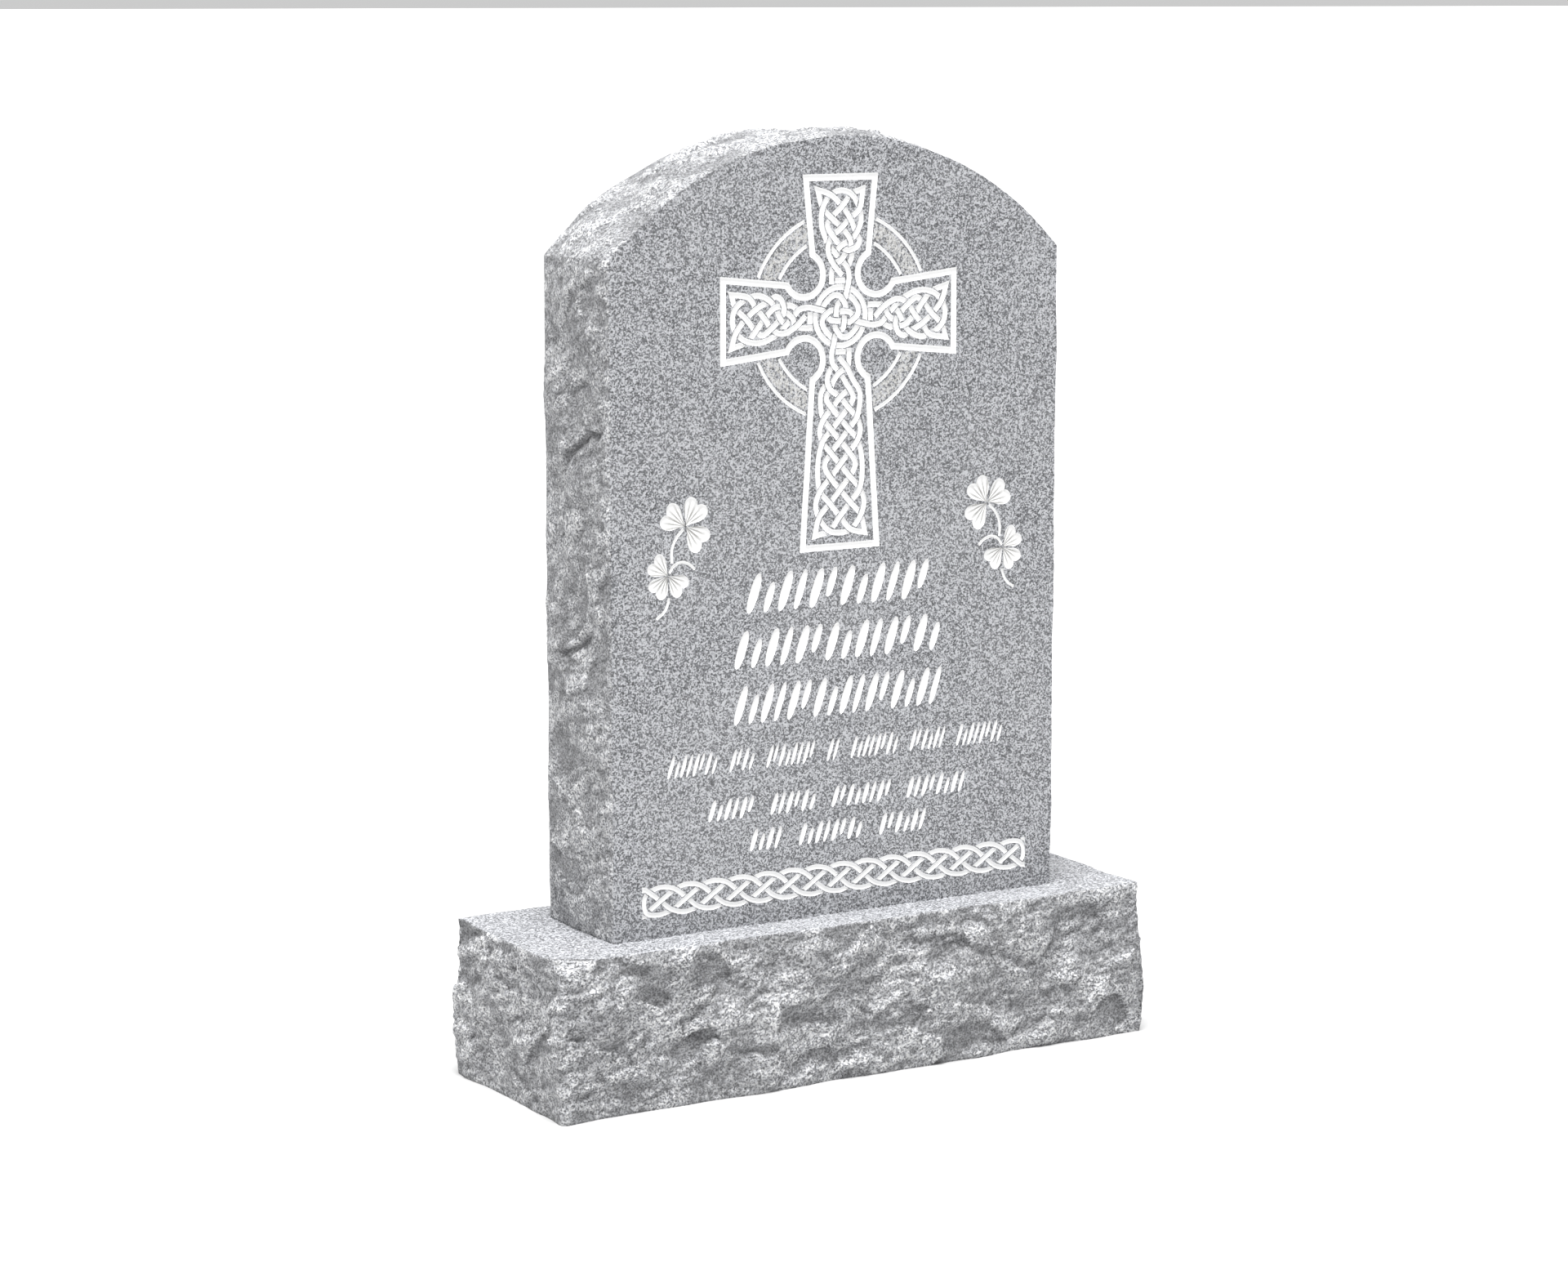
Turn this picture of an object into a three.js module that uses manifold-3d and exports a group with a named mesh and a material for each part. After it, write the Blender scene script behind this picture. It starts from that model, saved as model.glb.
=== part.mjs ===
// Upright headstone of grey granite: a tablet with a sawn face, a rock-pitched rim and an arched top,
// carved with a ringed cross of knotwork, two shamrock sprays, rows of strokes and a plaited band,
// standing on a rock-pitched base. Millimetres, +Z up. The carved face looks to -Y, and the origin
// is the middle of the base's underside.
import * as THREE from "three";
import { mergeVertices } from "three/addons/utils/BufferGeometryUtils.js";
import Module from "manifold-3d";

const wasm = await Module();
wasm.setup();

// Tablet
const tabletWidth = 610;
const tabletThick = 157;
const shoulderHeight = 784; // from the tablet's foot to where the arch springs
const archRise = 135; // from the shoulders to the crown
const rimProud = 7; // the pitched rim swells past the sawn face's edge
const rimWander = 6; // how far the pitched rim wanders about that swell
const rimArris = 0.15; // share of both that is left at the two arrises
const rimStep = 46; // spacing of the rim's chisel facets
const rimRows = 5; // rows of facets between the front and the back face

// Base
const baseHeight = 188.5;
const sideLedge = 97; // base beyond the tablet at each end
const frontLedge = 51.5; // base beyond the tablet's face and back
const baseProud = 3;
const baseWander = 8;
const baseArris = 0.5;
const baseStep = 52;
const baseRows = 4;
const cornerChip = 34; // size of the break at the base's front left top corner

// Carving
const carveDepth = 1.6;
const drawingStep = 0.1; // every carved outline's points lie on this grid
const ribbonWidth = 6.6;
const ribbonGap = 1.3; // bare stone left beside a ribbon that passes over
const ribbonBow = 0.5; // how far a ribbon's faceted side may lie off its curve

// Ringed cross
const crossHeight = 439;
const crossBelowCrown = 42; // from the tablet's crown down to the cross's top edge
const frameWidth = 7.8; // the line round the cross
const topReach = 165; // from the cross's centre to its top edge
const armReach = 161.8;
const armEndHalf = 51; // half the width of an arm's end
const footEndHalf = 55;
const neckHalf = 42; // half the width of an arm where it meets the round armpit
const armpitOut = 49.4; // armpit's centre from the middle of each arm
const armpitRadius = 21.8;
const ringRadii = [121.5, 95]; // the ring's two lines
const ringLine = 4.2;
const ringGap = 2.5; // bare stone between the ring's ends and the frame

// Plaited band along the foot
const bandMargin = 37; // from the band's ends to the tablet's sides
const bandFoot = 25; // from the tablet's foot to the band's lower edge
const bandWide = 38;
const bandPitch = 32.5;
const bandRibbon = 5.6;

// Shamrock sprays
const sprayInset = 82; // from the tablet's side to the spray's middle
const sprayHeight = 452; // from the tablet's foot to the spray's middle
const leafLength = 33.5;
const smallLeaf = 28;
const stemWidth = 3.4;

// Rows of strokes
const rowsMargin = 72; // from the widest row's ends to the tablet's sides
const rowsGap = 20; // from the cross down to the first row, and from the last row to the band

const crown = shoulderHeight + archRise;
const archRadius = (tabletWidth ** 2 / 4 + archRise ** 2) / (2 * archRise);
const archAngle = Math.asin(tabletWidth / 2 / archRadius);
const baseLength = tabletWidth + 2 * sideLedge;
const baseDepth = tabletThick + 2 * frontLedge;
const faceY = -tabletThick / 2;

// Solids

function toSolid(geometry) {
  const bare = geometry.clone();
  bare.deleteAttribute("normal");
  bare.deleteAttribute("uv");
  const merged = mergeVertices(bare, 1e-4);
  return new wasm.Manifold(new wasm.Mesh({
    numProp: 3,
    vertProperties: new Float32Array(merged.attributes.position.array),
    triVerts: new Uint32Array(merged.index.array),
  }));
}

function toGeometry(solid) {
  const mesh = solid.getMesh();
  const geometry = new THREE.BufferGeometry();
  geometry.setAttribute("position", new THREE.BufferAttribute(mesh.vertProperties, 3));
  geometry.setIndex(new THREE.BufferAttribute(mesh.triVerts, 1));
  geometry.computeVertexNormals();
  return geometry;
}

// Pitched rock: how far a facet stands out of the plain outline, from its place along and across.
// It swells between the two arrises, where the chisel line runs and only a share of it shows.
function pitched(along, across, proud, wander, arrisShare, seed) {
  const swell = arrisShare + (1 - arrisShare) * Math.sin(Math.PI * Math.min(Math.max(across, 0), 1)) ** 0.5;
  const rough = 0.5 * Math.sin(along / 41 + 1.9 * Math.sin(across * 3.1 + seed) + seed)
    + 0.3 * Math.sin(along / 23 - across * 4.3 + 2 * seed)
    + 0.2 * Math.sin(along / 13 + across * 7.7 + 3 * seed);
  return swell * (proud + wander * rough);
}

function displaced(geometry, shift) {
  const place = geometry.attributes.position;
  const point = new THREE.Vector3();
  for (let i = 0; i < place.count; i++) {
    point.fromBufferAttribute(place, i);
    point.add(shift(point));
    place.setXYZ(i, point.x, point.y, point.z);
  }
  return geometry;
}

// Tablet

function tabletOutline() {
  const half = tabletWidth / 2;
  const rises = Math.round(shoulderHeight / rimStep);
  const points = [new THREE.Vector2(-half, 0), new THREE.Vector2(half, 0)];
  for (let i = 1; i <= rises; i++) {
    points.push(new THREE.Vector2(half, shoulderHeight * i / rises));
  }
  const turns = Math.round(2 * archAngle * archRadius / rimStep);
  for (let i = 1; i <= turns; i++) {
    const angle = archAngle * (1 - 2 * i / turns);
    const height = crown + archRadius * (Math.cos(angle) - 1);
    points.push(new THREE.Vector2(archRadius * Math.sin(angle), height));
  }
  for (let i = rises - 1; i > 0; i--) {
    points.push(new THREE.Vector2(-half, shoulderHeight * i / rises));
  }
  return points;
}

function rimNormal(x, z) {
  const side = new THREE.Vector2(Math.sign(x), 0);
  const arch = new THREE.Vector2(x, z - crown + archRadius).normalize();
  if (z < shoulderHeight - 1) {
    return side;
  }
  return z > shoulderHeight + 1 ? arch : side.add(arch).normalize();
}

function makeTablet() {
  const plain = new THREE.ExtrudeGeometry(new THREE.Shape(tabletOutline()), {
    depth: tabletThick, steps: rimRows, bevelEnabled: false,
  });
  plain.rotateX(Math.PI / 2);
  plain.translate(0, tabletThick / 2, 0);
  displaced(plain, (p) => {
    const normal = rimNormal(p.x, p.z);
    const across = p.y / tabletThick + 0.5;
    const along = p.z + (p.x > 0 ? 3 : 1) * shoulderHeight + p.x;
    const foot = Math.min(1, 0.3 + p.z / (2 * rimStep));
    const out = foot * pitched(along, across, rimProud, rimWander, rimArris, 1);
    return new THREE.Vector3(normal.x * out, 0, normal.y * out);
  });
  return toSolid(plain);
}

// Base

function rectangleOutline(length, depth, step) {
  const points = [];
  const corners = [[-1, -1], [1, -1], [1, 1], [-1, 1]];
  corners.forEach(([sx, sy], i) => {
    const [tx, ty] = corners[(i + 1) % 4];
    const from = new THREE.Vector2(sx * length / 2, sy * depth / 2);
    const to = new THREE.Vector2(tx * length / 2, ty * depth / 2);
    const count = Math.round(from.distanceTo(to) / step);
    for (let k = 0; k < count; k++) {
      points.push(from.clone().lerp(to, k / count));
    }
  });
  return points;
}

function makeBase() {
  const outline = rectangleOutline(baseLength, baseDepth, baseStep);
  const plain = new THREE.ExtrudeGeometry(new THREE.Shape(outline), {
    depth: baseHeight, steps: baseRows, bevelEnabled: false,
  });
  displaced(plain, (p) => {
    const endFace = Math.abs(p.x) > baseLength / 2 - 0.5 ? Math.sign(p.x) : 0;
    const longFace = Math.abs(p.y) > baseDepth / 2 - 0.5 ? Math.sign(p.y) : 0;
    const normal = new THREE.Vector2(endFace, longFace).normalize();
    const along = longFace * p.x - endFace * p.y + 700 * longFace + 400 * endFace;
    const out = pitched(along, p.z / baseHeight, baseProud, baseWander, baseArris, 4);
    return new THREE.Vector3(normal.x * out, normal.y * out, 0);
  });
  const chip = new THREE.BoxGeometry(4 * cornerChip, 4 * cornerChip, cornerChip);
  chip.translate(0, 0, cornerChip / 2);
  chip.lookAt(new THREE.Vector3(-0.5, -0.75, 1.6));
  chip.translate(-baseLength / 2, -baseDepth / 2, baseHeight - 0.42 * cornerChip);
  return toSolid(plain).subtract(toSolid(chip));
}

// Flat drawing: a line of a given width along points on the face, mitred at each point

function stroked(points, width, closed = false) {
  const count = points.length;
  const sides = [[], []];
  points.forEach((point, i) => {
    const before = points[closed ? (i + count - 1) % count : Math.max(i - 1, 0)];
    const after = points[closed ? (i + 1) % count : Math.min(i + 1, count - 1)];
    const into = point.clone().sub(before).normalize();
    const outOf = after.clone().sub(point).normalize();
    const ahead = into.clone().add(outOf).normalize();
    const lean = into.length() && outOf.length() ? ahead.dot(into) : 1;
    const across = new THREE.Vector2(-ahead.y, ahead.x).multiplyScalar(width / 2 / Math.max(lean, 0.3));
    sides[0].push(point.clone().add(across));
    sides[1].push(point.clone().sub(across));
  });
  return sides;
}

// The same line without the points that lie within a small bow of the straight line past them
function thinned(points, bow) {
  const [from, to] = [points[0], points.at(-1)];
  const way = to.clone().sub(from).normalize();
  const bows = points.map((p) => Math.abs(way.cross(p.clone().sub(from))));
  const most = Math.max(...bows);
  const at = bows.indexOf(most);
  if (points.length < 3 || most < bow) {
    return [from, to];
  }
  return [...thinned(points.slice(0, at + 1), bow), ...thinned(points.slice(at), bow).slice(1)];
}

function bandShape(points, width) {
  const [left, right] = stroked(points, width);
  return new THREE.Shape([...left, ...right.reverse()]);
}

function frameShape(points, width) {
  const [left, right] = stroked(points, width, true);
  const shape = new THREE.Shape(left);
  shape.holes.push(new THREE.Path(right.reverse()));
  return shape;
}

// Interlace: strands run through named points. A name ending in + passes over there, in - passes
// under, in ^ turns a sharp corner, and a bare name only bends.

function readStrand(text, places) {
  return text.split(" ").map((word) => {
    const mark = /[-+^]$/.test(word) ? word.slice(-1) : "";
    return { at: places[mark ? word.slice(0, -1) : word].clone(), mark };
  });
}

function smoothRun(stops, perSpan) {
  const curve = new THREE.CatmullRomCurve3(stops.map((s) => new THREE.Vector3(s.at.x, s.at.y, 0)));
  return stops.flatMap((stop, i) => {
    const last = stops.length - 1;
    if (i === last) {
      return [{ at: stop.at, mark: stop.mark }];
    }
    return Array.from({ length: perSpan }, (_, k) => {
      const p = curve.getPoint((i + k / perSpan) / last);
      return { at: new THREE.Vector2(p.x, p.y), mark: k ? "" : stop.mark };
    });
  });
}

function smoothStrand(stops, perSpan) {
  const runs = [[]];
  for (const stop of stops) {
    runs.at(-1).push(stop);
    if (stop.mark === "^") {
      runs.push([stop]);
    }
  }
  return runs.flatMap((run, i) => smoothRun(run, perSpan).slice(i ? 1 : 0));
}

function nearestPass(passes, at) {
  return passes.reduce((best, pass) => (pass.at.distanceTo(at) < best.at.distanceTo(at) ? pass : best));
}

// A side line of a ribbon, cut where it comes up to the strand that passes over its end
function trimmed(side, pass, keepOff) {
  const { at, before, after } = pass;
  const distance = (p) => Math.min(...[[before, after], [before, at], [at, after]].map(([from, to]) => {
    const way = to.clone().sub(from);
    const along = p.clone().sub(at).dot(way);
    const beside = (from === before && to === at ? along > 0 : to === after && from === at && along < 0);
    return beside ? Infinity : Math.abs(way.cross(p.clone().sub(at))) / way.length();
  }));
  const reach = side.findIndex((p) => distance(p) > keepOff);
  if (reach < 1) {
    return reach === 0 ? side : [];
  }
  const near = distance(side[reach - 1]);
  const part = (keepOff - near) / (distance(side[reach]) - near);
  return [side[reach - 1].clone().lerp(side[reach], part), ...side.slice(reach)];
}

function interlace(strands, width, gap, perSpan) {
  const lines = strands.map((stops) => smoothStrand(stops, perSpan));
  const passes = lines.flatMap((line) => line.flatMap((stop, i) => (stop.mark === "+"
    ? [{ at: stop.at, before: line[i - 1].at, after: line[i + 1].at }] : [])));
  const shapes = [];
  for (const line of lines) {
    const cuts = line.flatMap((stop, i) => (stop.mark === "-" ? [i] : []));
    const ends = [...new Set([0, ...cuts, line.length - 1])];
    for (let k = 1; k < ends.length; k++) {
      const run = line.slice(ends[k - 1], ends[k] + 1);
      const [left, right] = stroked(run.map((stop) => stop.at), width);
      const halves = [left, right].map((side) => {
        const half = Math.floor(side.length / 2);
        let start = side.slice(0, half + 1);
        let end = side.slice(half).reverse();
        if (run[0].mark === "-") {
          start = trimmed(start, nearestPass(passes, run[0].at), width / 2 + gap);
        }
        if (run.at(-1).mark === "-") {
          end = trimmed(end, nearestPass(passes, run.at(-1).at), width / 2 + gap);
        }
        return thinned([...start, ...end.reverse().slice(1)], ribbonBow);
      });
      if (halves[0].length > 1 && halves[1].length > 1) {
        shapes.push(new THREE.Shape([...halves[0], ...halves[1].reverse()]));
      }
    }
  }
  return shapes;
}

// Cross: everything is drawn about its centre, across and up, at the size of a 439 mm cross

const drawnHeight = 439;
const crossScale = crossHeight / drawnHeight;
const footReach = drawnHeight - topReach;
const turns = [0, 1, 2, 3]; // quarter turns clockwise: top, right, foot, left

function turned(point, quarter) {
  return point.clone().rotateAround(new THREE.Vector2(), -quarter * Math.PI / 2);
}

// Middle line of the frame: each arm's two end corners, and round each armpit
function framePath() {
  const inset = frameWidth / 2;
  const round = armpitRadius + inset;
  const neck = neckHalf - inset;
  const neckOut = armpitOut + Math.sqrt(round ** 2 - (armpitOut - neck) ** 2);
  const spread = Math.atan2(armpitOut - neck, neckOut - armpitOut);
  const reaches = [topReach, armReach, footReach, armReach];
  const path = [];
  for (const quarter of turns) {
    const half = (quarter === 2 ? footEndHalf : armEndHalf) - inset;
    const reach = reaches[quarter] - inset;
    path.push(turned(new THREE.Vector2(-half, reach), quarter));
    path.push(turned(new THREE.Vector2(half, reach), quarter));
    const steps = 9;
    for (let i = 0; i <= steps; i++) {
      const angle = Math.PI / 2 + spread + (1.5 * Math.PI - 2 * spread) * i / steps;
      const point = new THREE.Vector2(armpitOut, armpitOut);
      point.x += round * Math.cos(angle);
      point.y += round * Math.sin(angle);
      path.push(turned(point, quarter));
    }
  }
  return path;
}

function ringShapes() {
  const shapes = [];
  for (const radius of ringRadii) {
    for (const quarter of turns) {
      const edge = (reach, half) => {
        const slope = (half - neckHalf) / (reach - armpitOut - armpitRadius);
        const out = Math.sqrt(radius ** 2 - neckHalf ** 2);
        return Math.asin((neckHalf + slope * (out - armpitOut - armpitRadius) + ringGap) / radius);
      };
      const foot = edge(footReach, footEndHalf);
      const arm = edge(armReach, armEndHalf);
      const first = quarter === 2 ? foot : arm;
      const last = quarter === 1 ? foot : arm;
      const steps = Math.round(radius / 24);
      const points = Array.from({ length: steps + 1 }, (_, i) => {
        const angle = first + (Math.PI / 2 - first - last) * i / steps;
        return turned(new THREE.Vector2(radius * Math.sin(angle), radius * Math.cos(angle)), quarter);
      });
      shapes.push(bandShape(points, ringLine));
    }
  }
  return shapes;
}

function placed(table) {
  const points = {};
  for (const [name, [across, out]] of Object.entries(table)) {
    points[name] = new THREE.Vector2(across, out);
  }
  return points;
}

// Points of the pinwheel in the middle and of one neck, seen with the arm pointing up
const corePlaces = {
  L: [26.5, -8], h1: [19.5, -17], h2: [9, -24.5], h3: [1, -23.5], Jf: [-3.5, -18.5], h4: [-7.3, -12],
  Kf: [-5.3, -5.5], K: [-5.5, 5.3], h5: [-3.2, 14.5], J: [3.5, 18.5], h6: [6.8, 22.5], N: [8, 26.5],
  R: [9.5, 33],
  n1: [11.6, 41], n2: [11.6, 49], I2: [9.5, 56.5], H1: [0.5, 65.2], I1: [-9.5, 60.5],
  q0: [-12, 37.5], q1: [-12, 50], s0: [2.4, 47.4], g0: [-7.4, 41.5], g1: [6.4, 41.5],
};
const coreRun = "L- h1 h2 h3 Jf+ h4 Kf- K+ h5 J- h6 N+ R+ n1 n2 I2+ H1-";

// Points and strands of a short arm
const armPlaces = {
  ...corePlaces,
  G2: [-7.5, 73.8], F1: [-16.5, 84], s1: [-16.6, 74.5], o1: [-25.8, 106], B0: [-24.3, 126],
  A1: [-13.5, 141],
  t1: [1, 145.7], A2: [14.8, 141.2], B2: [26, 124], o2: [28, 110], E2: [21.5, 95.6], E3: [13.6, 88.3],
  F2: [0.5, 81.6], E1: [-10.5, 93.5], D1: [1.5, 102.8], C2: [13, 113.5], B1: [2, 127.5], C1: [-12.5, 114.5],
  i1: [-18, 106], H2: [9, 76.4], G1: [14.6, 76.8], r1: [22.5, 80.5], r2: [26, 88], i2: [17.6, 104.5],
  left: [-31.3, 147], right: [30.5, 147], k1: [15.2, 68.5],
};
const armStrands = [
  coreRun + " G2+ F1- o1 B0+ A1- t1 A2+ B2- o2 E2+ E3- F2+ G2-",
  "s0 I1+ s1 F1+ E1- D1+ C2- B2+ right^ A2- B1+ C1- i1 E1+ F2- H2+ G1+ r1 r2 E2- i2 C2+ B1- A1+ "
    + "left^ B0- C1+ D1- E3+ G1- k1 I2-",
  "q0 q1 I1- H1+ H2-",
  "g0 g1",
];

// Points and strands of the foot, a six-strand plait whose rows and columns narrow towards the neck.
// Rows count up from the foot, and columns a to e cross it.
function footPlaces() {
  const places = placed({
    ...corePlaces,
    w1: [16.3, 66.5], Q0: [17.6, 77], Q1: [13.6, 85], y1: [8.6, 74.5], x1: [-4.5, 73], T1: [-12.8, 85],
    D11: [-18, 95.5], B11: [19, 95.5], E12: [-26.8, 89], z1: [-18, 75.5], A12: [26, 88],
    foot: [0, 254], left: [34.7, 256], right: [-34.7, 256],
  });
  const column = { a: 2, b: 1, c: 0, d: -1, e: -2 };
  const [widthAtFoot, widthAtNeck, rows, reach, pitch] = [14.9, 10.8, 11, 251, 1.1];
  let out = reach;
  for (let row = 0; row <= rows; row++) {
    const width = widthAtNeck + (widthAtFoot - widthAtNeck) * (out - 95) / (reach - 95);
    for (const [name, side] of Object.entries(column)) {
      places[name + row] = new THREE.Vector2(side * width, out);
    }
    places["A" + row] = new THREE.Vector2(2.38 * width, out);
    places["E" + row] = new THREE.Vector2(-2.38 * width, out);
    if (row < rows) {
      places["B" + row] = new THREE.Vector2(1.65 * width, out);
      places["D" + row] = new THREE.Vector2(-1.65 * width, out);
    }
    out -= pitch * width;
  }
  return places;
}
const footStrands = [
  "I2- w1 Q0+ Q1+ c11- d10+ e9- E8 e7+ d6- c5+ b4- a3+ A2 a1- b0+ foot d0- e1+ E2 e3- d4+ c5- b6+ a7- A8 "
    + "a9+ b10- c11+ T1-",
  coreRun + " x1 T1+ D11 d10- c9+ b8- a7+ A5 a3- b2+ c1- d0+ right^ e1- d2+ c3- b4+ B5 b6- c7+ d8- e9+ "
    + "E10 E12 z1 I1+ s0",
  "q0 q1 I1- H1+ y1 Q1- B11 b10+ c9- d8+ e7- E5 e3+ d2- c1+ b0- left^ a1+ b2- c3+ d4- D5 d6+ c7- b8+ a9- "
    + "A10 A12 Q0-",
  "g0 g1",
];

function crossShapes() {
  const strands = [];
  const wheel = 34.3;
  for (const quarter of turns) {
    const places = quarter === 2 ? footPlaces() : placed(armPlaces);
    for (const text of quarter === 2 ? footStrands : armStrands) {
      strands.push(readStrand(text, places));
    }
    const rim = [16, 36, 60, 84, 106].map((degrees, i, all) => {
      const angle = Math.PI - degrees * Math.PI / 180;
      const end = i === 0 || i === all.length - 1;
      const at = new THREE.Vector2(wheel * Math.cos(angle), wheel * Math.sin(angle));
      return { at, mark: end ? "-" : "" };
    });
    strands.push(rim);
    for (const strand of strands.slice(-1 - (quarter === 2 ? footStrands : armStrands).length)) {
      strand.forEach((stop) => stop.at.copy(turned(stop.at, quarter)));
    }
  }
  return [
    frameShape(framePath(), frameWidth),
    ...ringShapes(),
    ...interlace(strands, ribbonWidth, ribbonGap, 2),
  ];
}

// Plaited band: four strands, each crossing marked over or under, with looped ends

function bandShapes() {
  const length = tabletWidth - 2 * bandMargin;
  const bars = Math.max(2, Math.round((length - bandPitch) / bandPitch)) - 1;
  const pitch = (length - 1.5 * bandPitch) / bars;
  const start = -bars * pitch / 2;
  const high = bandWide / 2 - bandRibbon / 2;
  const [lean, rise] = [pitch * 0.46, bandWide * 0.325];
  const middle = (k) => start + k * pitch;
  const upper = (k) => new THREE.Vector2(middle(k) - lean, rise);
  const lower = (k) => new THREE.Vector2(middle(k) + lean, -rise);
  const strands = [];
  for (let k = 0; k <= bars; k++) {
    const bar = new THREE.Vector2(middle(k), 0);
    if (k > 0) {
      strands.push([[lower(k - 1), "-"], [bar, "+"], [k < bars ? upper(k + 1) : null, "-"]]);
      strands.push([[upper(k), "-"], [new THREE.Vector2(middle(k) + 0.02 * pitch, high), ""],
        [k < bars ? upper(k + 1) : null, "+"],
        [k < bars ? new THREE.Vector2(middle(k + 1), 0) : null, "-"]]);
      strands.push([[new THREE.Vector2(middle(k - 1), 0), "-"], [lower(k - 1), "+"],
        [new THREE.Vector2(middle(k) - 0.02 * pitch, -high), ""], [k < bars ? lower(k) : null, "-"]]);
    }
  }
  // The loops at the left end; the right end is the same turned half round
  const end = -length / 2 + bandRibbon / 2;
  const under = lower(0).clone();
  under.x -= pitch;
  strands.push([[new THREE.Vector2(end + 1.5, high - 1), ""], [upper(0), "+"],
    [new THREE.Vector2(start, 0), "-"]]);
  strands.push([[upper(0), "-"], [new THREE.Vector2(end, 0.25 * high), ""], [under, "+"],
    [new THREE.Vector2(start - 0.05 * pitch, -high), ""], [lower(0), "-"]]);
  strands.push([[under, "-"], [new THREE.Vector2(start, 0), "+"], [upper(1), "-"]]);
  strands.push([[upper(0), "-"], [new THREE.Vector2(middle(0), high), ""], [upper(1), "+"],
    [new THREE.Vector2(middle(1), 0), "-"]]);
  const whole = strands.filter((strand) => strand.every(([at]) => at));
  const half = whole.filter((strand) => strand[0][0].x < 0 && strand.at(-1)[0].x <= 0.5 * pitch);
  const turnedHalf = half.map((strand) => strand.map(([at, mark]) => [at.clone().negate(), mark]));
  const stops = [...whole, ...turnedHalf].map((strand) => strand.map(([at, mark]) => ({ at, mark })));
  const corners = [[[0, 0], [7, 0.5], [6, 2.4], [0, 5.5]], [[0, 38], [0, 31.2], [4, 31], [5.7, 36.6]]];
  const tips = [1, -1].flatMap((way) => corners.map((corner) => new THREE.Shape(corner.map(([x, z]) => (
    new THREE.Vector2(way * (x - length / 2), way * (z - 19) * bandWide / 38))))));
  return { stops, tips };
}

// Shamrocks

function leafShape(middle, degrees, length) {
  const leaf = new THREE.Shape();
  leaf.moveTo(0, 0);
  leaf.bezierCurveTo(0.28, 0.17, 0.38, 0.45, 0.68, 0.49);
  leaf.bezierCurveTo(1.0, 0.53, 1.08, 0.16, 0.84, 0);
  leaf.bezierCurveTo(1.08, -0.16, 1.0, -0.53, 0.68, -0.49);
  leaf.bezierCurveTo(0.38, -0.45, 0.28, -0.17, 0, 0);
  const angle = degrees * Math.PI / 180;
  const points = leaf.getPoints(3).slice(0, -1).map((p) => (
    p.multiplyScalar(length).rotateAround(new THREE.Vector2(), angle).add(middle)));
  return new THREE.Shape(points);
}

function sprayShapes(side) {
  const at = (x, z) => new THREE.Vector2(x, z);
  const top = at(15, 27.5);
  const low = at(-8.5, -28);
  const leaves = [
    ...[56, 149, -43].map((way) => [top, way, leafLength]),
    ...[139, 228, -41].map((way) => [low, way, smallLeaf]),
  ];
  const stems = [
    [at(12, 25), at(2.5, 15), at(-3.3, 2), at(-3.3, -14)],
    [at(-7, -25), at(-1, -17), at(9, -13.5), at(19, -16.5), at(27, -23)],
    [at(-7.5, -54), at(-9.3, -61), at(-14, -69.5), at(-24.5, -77.5)],
  ];
  const shapes = leaves.map(([middle, way, length]) => {
    const angle = way * Math.PI / 180;
    const outward = new THREE.Vector2(Math.cos(angle), Math.sin(angle));
    const foot = middle.clone().add(outward.multiplyScalar(0.5));
    return leafShape(foot, way, length);
  });
  for (const stem of stems) {
    shapes.push(bandShape(new THREE.SplineCurve(stem).getPoints(4), stemWidth));
  }
  const place = at(side * (tabletWidth / 2 - sprayInset), sprayHeight);
  return shapes.map((shape) => new THREE.Shape(shape.getPoints().map((p) => (
    new THREE.Vector2(-side * p.x, p.y).add(place)))));
}

// Rows of slanting strokes: each row has its width as a share of the widest, its place and height
// as shares of the space between the cross and the band, and the number of places in each group

const strokeRows = [
  [0.55, 0, 0.139, [6]],
  [0.62, 0.198, 0.133, [7]],
  [0.62, 0.392, 0.136, [8]],
  [1, 0.612, 0.079, [4, 2, 4, 1, 4, 3, 4]],
  [0.77, 0.784, 0.076, [3, 3, 4, 4]],
  [0.53, 0.904, 0.078, [2, 4, 3]],
];

function strokeShapes(top, bottom) {
  const widest = tabletWidth - 2 * rowsMargin;
  const slant = 0.32;
  return strokeRows.flatMap(([share, down, tall, groups]) => {
    const places = groups.reduce((sum, n) => sum + n, groups.length - 1);
    const pitch = share * widest / places;
    const height = tall * (top - bottom);
    const level = top - down * (top - bottom) - height / 2;
    const shapes = [];
    let place = 0;
    for (const group of groups) {
      for (let i = 0; i < group; i++, place++) {
        const short = 0.25 * ((place % 3) - 1);
        for (const [shift, broad, lift] of [[-0.24, 0.3, 0], [0.24, 0.24, short]]) {
          const half = height / 2 * (1 - Math.abs(lift));
          const x = (place + 0.5 - places / 2 + shift) * pitch;
          const z = level + lift * height / 2;
          const lens = [[0, 1], [-0.5, 0.1], [0, -1], [0.5, -0.1]];
          shapes.push(new THREE.Shape(lens.map(([u, v]) => (
            new THREE.Vector2(x + u * broad * pitch + slant * v * half, z + v * half)))));
        }
      }
      place++;
    }
    return shapes;
  });
}

// Carving: every drawn shape becomes a shallow prism sunk into the face

function placedOutline(outline, scale, lift) {
  const points = outline.getPoints().map((p) => (
    new THREE.Vector2(p.x * scale, p.y * scale + lift)
      .divideScalar(drawingStep).round().multiplyScalar(drawingStep)));
  return points.filter((p, i) => !p.equals(points[(i + 1) % points.length]));
}

function prism(shape, scale, lift) {
  const outside = 5;
  const face = new THREE.Shape(placedOutline(shape, scale, lift));
  face.holes = shape.holes.map((hole) => new THREE.Path(placedOutline(hole, scale, lift)));
  const geometry = new THREE.ExtrudeGeometry(face, { depth: carveDepth + outside, bevelEnabled: false });
  geometry.rotateX(Math.PI / 2);
  geometry.translate(0, faceY + carveDepth, 0);
  return toSolid(geometry);
}

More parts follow.
